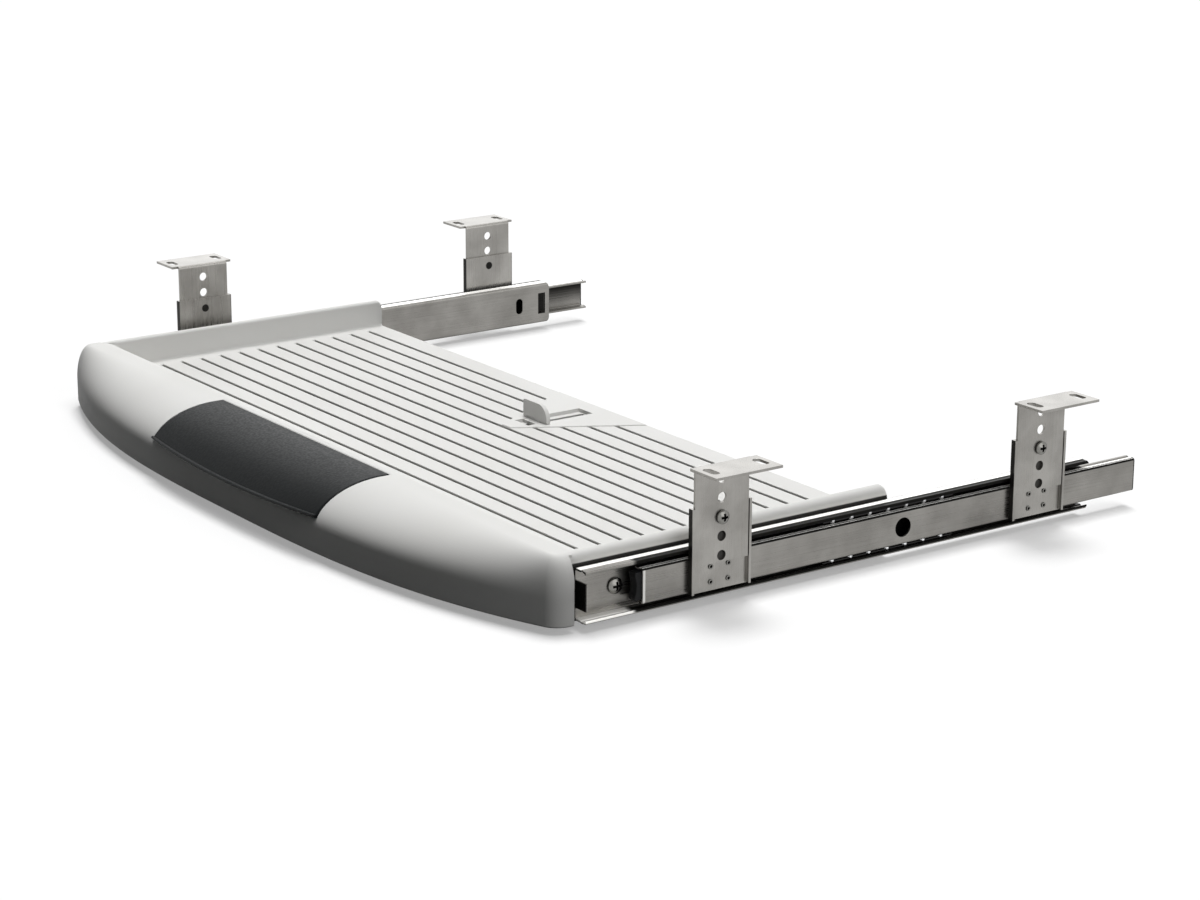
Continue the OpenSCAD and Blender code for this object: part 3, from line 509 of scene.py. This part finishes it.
def palmSolid():
    right = palmOutline()
    line = right[::-1] + [((-p[0], p[1]), (-q[0], q[1])) for p, q in right[1:]]
    columns = []
    for p, q in line:
        column = []
        for t in quarter(tray["rollRows"]):
            k = 1 - math.sin(t)
            column.append((p[0] + (q[0] - p[0]) * k, p[1] + (q[1] - p[1]) * k,
                           shoulder + tray["roll"] * math.cos(t)))
        reach = math.hypot(q[0] - p[0], q[1] - p[1])
        inward = ((q[0] - p[0]) / reach, (q[1] - p[1]) / reach)
        for t in quarter(tray["footRows"]):
            step = tray["footEdge"] * (1 - math.cos(t))
            column.append((p[0] + inward[0] * step, min(p[1] + inward[1] * step, tray["palmRear"]),
                           tray["foot"] + tray["footEdge"] * (1 - math.sin(t))))
        columns.append(column)
    rows = len(columns[0])
    faces = [(i * rows + j, i * rows + j + 1, (i + 1) * rows + j + 1, (i + 1) * rows + j)
             for i in range(len(columns) - 1) for j in range(rows - 1)]
    faces.append(tuple(i * rows for i in range(len(columns))))
    faces.append(tuple(i * rows + rows - 1 for i in range(len(columns))))
    end = (len(columns) - 1) * rows
    faces.append(tuple(range(rows)) + tuple(range(end + rows - 1, end - 1, -1)))
    return solidFrom("traySkin", [p for column in columns for p in column], faces)


hollow = {"wall": 5, "sideIn": 0.5, "back": 4, "columns": 60, "rows": 12}


def palmHollow():
    loops = []
    top = tray["crest"] - hollow["wall"]
    low = tray["foot"] - tray["past"]
    back = tray["palmRear"] + hollow["back"]
    for i in range(hollow["columns"] + 1):
        x = (pan - hollow["sideIn"]) * (2 * i / hollow["columns"] - 1)
        y = frontY(x) + hollow["wall"] / math.cos(frontSlope(x))
        loop = [(x, back, low), (x, back, top)]
        for t in quarter(hollow["rows"]):
            loop.append((x, tray["ridge"] - (tray["ridge"] - y) * math.sin(t),
                         shoulder + (tray["roll"] - hollow["wall"]) * math.cos(t)))
        loops.append(loop + [(x, y, low)])
    return sweepLoops("palmHollow", loops)


# the ears stop short of the slides, which leaves a dark gap before each channel
earCut = {"inner": 0.5, "outer": 3, "rear": 1, "skin": 0.01, "rows": 6}


def earGap(side):
    edge = tray["earEdge"]
    back = tray["palmRear"] - tray["earShort"]
    rear = tray["palmRear"] + earCut["rear"]
    inner, outer = tray["half"] - earCut["inner"], tray["ear"] + earCut["outer"]
    plan = [(inner, rear), (outer, rear), (outer, back - edge)]
    for a in quarter(earCut["rows"]):
        plan.append((tray["ear"] + earCut["skin"] - edge + edge * math.cos(a),
                     back - edge + edge * math.sin(a)))
    plan.append((inner, back))
    heights = (tray["foot"] - tray["past"], tray["crest"] + tray["past"])
    return sweepLoops("earGap", [[(side * x, y, z) for x, y in plan] for z in heights])


# pan: the ramp behind the palm rest, the grooved deck and the two side walls
panShape = {
    "ramp": 31, "rampHead": 4, "rampLead": 3, "rampRows": 28, "leastWall": 0.15, "leastRise": 0.1,
    "floorFillet": 1.5, "innerTop": 2, "outerTop": 4, "filletShare": 0.45, "filletRows": 5, "outerRows": 8,
    "wallEnd": 4, "deckEdge": 1, "footBevel": 0.7, "footStep": 0.2,
    "rearRows": (8, 5, 4, 3, 2, 1.4, 1, 0.7, 0.4, 0.15, 0),
}
groove = {
    "count": 12, "pitch": 14.15, "last": -3.8, "depth": 1.9, "end": 250, "endOut": 0.4, "endRun": 1.8,
    # distance from the middle of a groove, and share of its depth there
    "shape": [(0, 1), (0.65, 0.98), (0.95, 0.86), (1.1, 0.55), (1.18, 0.2), (1.3, 0.05), (1.6, 0)],
    # places across the deck, from its middle, closer where the grooves end
    "across": [0, 50, 100, 150, 200, 246, 248.4, 249, 249.4, 249.8, 250.1, 250.4, 251.2, 254, 257],
}
grooveLine = [groove["last"] - groove["pitch"] * i for i in range(groove["count"])]


# how far an edge of some radius has dropped at a distance past its start
def roundDrop(over, radius):
    return radius - math.sqrt(max(0, radius ** 2 - over ** 2)) if over > 0 else 0


def panFloor(y):
    f = (y - tray["palmRear"]) / panShape["ramp"]
    fall = tray["crest"] - tray["deck"]
    z = tray["crest"] - fall * (1 - math.cos(math.pi * min(max(f, 0), 1))) / 2
    z -= roundDrop(y - (tray["rear"] - panShape["deckEdge"]), panShape["deckEdge"])
    return min(z, tray["rim"] - panShape["leastWall"])


def panRim(y):
    return tray["rim"] - roundDrop(y - (tray["rear"] - panShape["wallEnd"]), panShape["wallEnd"])


def panUnder(y):
    f = min(max((y - tray["palmRear"]) / (panShape["ramp"] / 2), 0), 1)
    head = tray["crest"] - panShape["rampHead"]
    return head + (tray["under"] - head) * f


def grooveFall(y):
    near = min(abs(y - g) for g in grooveLine)
    for (a, da), (b, db) in zip(groove["shape"], groove["shape"][1:]):
        if near <= b:
            return groove["depth"] * (da + (db - da) * (near - a) / (b - a))
    return 0.0


# one section across the pan, right half, from the middle of the floor round to the underside
def panSection(y):
    z, rim, under = panFloor(y), panRim(y), panUnder(y)
    rise = max(rim - z, panShape["leastRise"])
    fillet = min(panShape["floorFillet"], panShape["filletShare"] * rise)
    inner = min(panShape["innerTop"], panShape["filletShare"] * rise)
    outer = panShape["outerTop"]
    dip = grooveFall(y)
    points = []
    for x in groove["across"]:
        f = min(max((groove["end"] + groove["endOut"] - x) / groove["endRun"], 0), 1)
        points.append((x, y, z - dip * f * f * (3 - 2 * f)))
    for t in quarter(panShape["filletRows"]):
        points.append((pan - fillet + fillet * math.sin(t), y, z + fillet * (1 - math.cos(t))))
    for t in quarter(panShape["filletRows"]):
        points.append((pan + inner - inner * math.cos(t), y, rim - inner + inner * math.sin(t)))
    for t in quarter(panShape["outerRows"]):
        points.append((tray["half"] - outer + outer * math.sin(t), y, rim - outer + outer * math.cos(t)))
    foot, half = tray["foot"], tray["half"]
    bevel, step = panShape["footBevel"], panShape["footStep"]
    points += [(half, y, foot + bevel), (half - step, y, foot + step), (half - bevel, y, foot),
               (pan + bevel, y, foot), (pan + step, y, foot + step), (pan, y, foot + bevel), (pan, y, under)]
    return points


def panSolid():
    rows = [tray["palmRear"] - panShape["rampLead"]]
    count = panShape["rampRows"]
    rows += [tray["palmRear"] + panShape["ramp"] * i / count for i in range(count + 1)]
    for g in grooveLine[::-1]:
        rows += [g - o for o, _ in groove["shape"][::-1]] + [g + o for o, _ in groove["shape"][1:]]
    rows += [tray["rear"] - d for d in panShape["rearRows"]]
    loops = []
    for y in rows:
        right = panSection(y)
        loops.append(right + [(-x, yy, z) for x, yy, z in right[:0:-1]])
    return sweepLoops("panSolid", loops)


# the raised panel round the stop, the recess and the slot that the stop slides in
stopPlace = {
    "panelFront": -58.9, "panelFrontHalf": 4.6, "panelRearHalf": 46, "panelRearIn": 1.2, "panelTop": -54.4,
    "panelRoot": 2, "panelEdge": 0.35, "panelDraw": 1.6, "recessHalf": 7.2, "recessFront": -47.9,
    "recessBack": -0.4, "recessFloor": -56.6, "recessOver": 6, "slotHalf": 2.5, "slotInset": 1, "boss": 2.4,
    "bossUnder": -58.8,
}


def panelSolid():
    s = stopPlace
    rear = tray["rear"] - s["panelRearIn"]
    corners = [(-s["panelFrontHalf"], s["panelFront"]), (s["panelFrontHalf"], s["panelFront"]),
               (s["panelRearHalf"], rear), (-s["panelRearHalf"], rear)]
    middle = (0, (s["panelFront"] + rear) / 2)
    edge = s["panelEdge"]
    loops = []
    for z, inset in ((tray["deck"] - s["panelRoot"], 0), (s["panelTop"] - edge, 0), (s["panelTop"], edge)):
        loop = []
        for x, y in corners:
            reach = math.hypot(x - middle[0], y - middle[1])
            k = 1 - inset * s["panelDraw"] / reach
            loop.append((middle[0] + (x - middle[0]) * k, middle[1] + (y - middle[1]) * k, z))
        loops.append(loop)
    return sweepLoops("panelSolid", loops)


# palm pad: the rows run from its rear edge over the rounded top to its front lip; its sweep is in degrees
padShape = {
    "half": 94.5, "rear": -198.5, "sweep": 76, "bow": 6, "proud": 0.3, "lip": 3.4, "lipFade": 0.7, "curl": 7,
    "bead": 1.5, "depth": 2.4, "edge": 1.1, "gap": 0.5, "over": 5, "pocketLong": 1, "pocketSteps": 40,
    # distances from an edge at which the rounded edge has points
    "near": [0, 0.08, 0.25, 0.5, 0.8, 1.1, 1.6, 2.1, 2.5, 2.8, 3],
    "steps": 44, "stepsIn": 2, "columns": 40, "columnsIn": 0.975, "arc": 0.75, "sharp": 40,
}


def topPoint(x, t, lift):
    d = tray["ridge"] - frontY(x)
    v = (tray["roll"] * math.sin(t), d * math.cos(t))
    size = math.hypot(*v)
    return (x, tray["ridge"] - d * math.sin(t) - lift * v[0] / size,
            shoulder + tray["roll"] * math.cos(t) + lift * v[1] / size)


def padRow(x, rear, sweep, lifts):
    flat = rear - tray["ridge"]
    out = []
    for s, lift in lifts:
        if s * (flat + sweep) < flat:
            out.append((x, rear - s * (flat + sweep), tray["crest"] + lift))
        else:
            out.append(topPoint(x, math.radians(s * (flat + sweep) - flat), lift))
    return out


# the pad's front edge bows down in the middle
def padEnd(x):
    return padShape["sweep"] + padShape["bow"] * (1 - (x / padShape["half"]) ** 2)


def padPocket():
    half, rear = padShape["half"] + padShape["gap"], padShape["rear"] + padShape["gap"]
    count = padShape["pocketSteps"]
    shares = [j / count for j in range(count + 1)]
    loops = []
    for i in range(count + 1):
        x = half * (2 * i / count - 1)
        sweep = padEnd(x) + padShape["pocketLong"]
        low = padRow(x, rear, sweep, [(s, -padShape["depth"] - padShape["gap"]) for s in shares])
        high = padRow(x, rear, sweep, [(s, padShape["over"]) for s in shares])
        loops.append(high + low[::-1])
    return sweepLoops("padPocket", loops)


def padSolid():
    half, near, arc = padShape["half"], padShape["near"], padShape["arc"]
    flat = padShape["rear"] - tray["ridge"]
    span = flat + padShape["sweep"]
    count, first = padShape["steps"], padShape["stepsIn"]
    steps = sorted({n / span for n in near} | {1 - n / arc / span for n in near} |
                   {j / count for j in range(first, count - 1)})
    columns = padShape["columns"]
    across = sorted({n - half for n in near} | {half - n for n in near} |
                    {half * (2 * i / columns - 1) * padShape["columnsIn"] for i in range(columns + 1)})
    r, b = padShape["edge"], padShape["bead"]
    loops = []
    for x in across:
        lifts = []
        sweep = padEnd(x)
        span = flat + sweep
        for s in steps:
            t = max(s * span - flat, 0)
            d = min(half - abs(x), s * span)
            drop = r - math.sqrt(max(0, r * r - (r - min(d, r)) ** 2))
            ahead = min((1 - s) * span * arc, 2 * b)        # distance behind the front edge, inside the bead
            drop -= math.sqrt(max(0, b * b - (ahead - b) ** 2))
            lip = padShape["lip"] * (t / sweep) ** padShape["curl"]
            lip *= 1 - padShape["lipFade"] * (x / half) ** 2
            lifts.append((s, padShape["proud"] + lip - drop))
        high = padRow(x, padShape["rear"], sweep, lifts)
        low = padRow(x, padShape["rear"], sweep, [(s, -padShape["depth"]) for s in steps])
        loops.append(high + low[::-1])
    return sweepLoops("palmPadSkin", loops)


# ribs, bosses and skirt under the deck; each runs into the deck or the walls by the overlap
under = {"rib": 2.4, "ribHigh": 4, "ribPlaces": (-0.72, -0.36, 0.36, 0.72), "ribRearIn": 1, "skirt": 8,
         "skirtIn": 0.05, "bossWide": 12, "bossLow": -66.3, "bossIn": 249.6, "screwLines": (-170.6, -78.6),
         "overlap": 1}
intoDeck = tray["under"] + under["overlap"]
intoWall = pan + under["overlap"]

traySkin = palmSolid()
combine(traySkin, padPocket(), "DIFFERENCE")
combine(traySkin, palmHollow(), "DIFFERENCE")
for side in (-1, 1):
    combine(traySkin, earGap(side), "DIFFERENCE")
combine(traySkin, panSolid(), "UNION")
combine(traySkin, panelSolid(), "UNION")
s = stopPlace
bossHalf = s["recessHalf"] + s["boss"]
combine(traySkin, block("stopBoss", (-bossHalf, s["recessFront"] - s["boss"], s["bossUnder"]),
                        (bossHalf, s["recessBack"] + s["boss"], intoDeck)), "UNION")
combine(traySkin, block("skirt", (-intoWall, tray["rear"] - under["rib"], tray["under"] - under["skirt"]),
                        (intoWall, tray["rear"] - under["skirtIn"], intoDeck)), "UNION")
ribFront, ribLow = tray["palmRear"] + panShape["ramp"], tray["under"] - under["ribHigh"]
for share in under["ribPlaces"]:
    x = pan * share
    combine(traySkin, block("rib", (x - under["rib"] / 2, ribFront, ribLow),
                            (x + under["rib"] / 2, tray["rear"] - under["ribRearIn"], intoDeck)), "UNION")
for side in (-1, 1):
    for y in under["screwLines"]:
        ends = sorted((side * under["bossIn"], side * intoWall))
        combine(traySkin, block("boss", (ends[0], y - under["bossWide"] / 2, under["bossLow"]),
                                (ends[1], y + under["bossWide"] / 2, intoDeck)), "UNION")
combine(traySkin, block("recess", (-s["recessHalf"], s["recessFront"], s["recessFloor"]),
                        (s["recessHalf"], s["recessBack"], tray["deck"] + s["recessOver"])), "DIFFERENCE")
combine(traySkin, block("slot", (-s["slotHalf"], s["recessFront"] + s["slotInset"], tray["foot"]),
                        (s["slotHalf"], s["recessBack"] - s["slotInset"], tray["deck"])), "DIFFERENCE")
dropIdlePoints(traySkin, tray["idle"])
smoothShade(traySkin, tray["sharp"])
weighNormals(traySkin)
traySkin.data.materials.clear()
traySkin.data.materials.append(mouldedAbs)
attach(traySkin, "tray")
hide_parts("tray_shell")
print("tray skin,", len(traySkin.data.polygons), "faces")

padSkin = padSolid()
smoothShade(padSkin, padShape["sharp"])
weighNormals(padSkin)
padSkin.data.materials.append(softRubber)
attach(padSkin, "tray")
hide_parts("palm_pad")
print("palm pad,", len(padSkin.data.polygons), "faces")

# carried-over solids: their finish, and the small edge radius that each was made with
finish = {
    "tray_channel": (zincChannel, 0.15), "desk_rail": (zincRail, 0.15), "hanger": (zincSheet, 0.2),
    "guide": (zincSheet, 0.2), "height_screw": (screwZinc, 0.12), "tray_screws": (screwZinc, 0.12),
    "rivets": (screwZinc, 0.15), "ball_cage": (cageSteel, 0), "upper_balls": (ballSteel, 0),
    "lower_balls": (ballSteel, 0), "rail_bumper": (bumperRubber, 0.5), "keyboard_stop": (mouldedAbs, 0.5),
    "stop_clip": (mouldedAbs, 0.3),
}
# lengths in millimetres and angles in degrees
rounding = {"sharp": 35, "weld": 0.002, "flat": 0.5, "segments": 2, "from": 40}
for name, made in nodes.items():
    found = [v for k, v in finish.items() if name.endswith(k)]
    if not found:
        continue
    material, radius = found[0]
    made.data.materials.clear()
    made.data.materials.append(material)
    smoothShade(made, rounding["sharp"])
    if radius:
        merge = made.modifiers.new("weld", "WELD")
        merge.merge_threshold = rounding["weld"] * mm
        flat = made.modifiers.new("flat", "DECIMATE")
        flat.decimate_type = "DISSOLVE"
        flat.angle_limit = math.radians(rounding["flat"])
        edge = made.modifiers.new("edge", "BEVEL")
        edge.width = radius * mm
        edge.segments = rounding["segments"]
        edge.limit_method = "ANGLE"
        edge.angle_limit = math.radians(rounding["from"])
        edge.harden_normals = True
        weighNormals(made)
print("carried-over nodes finished")
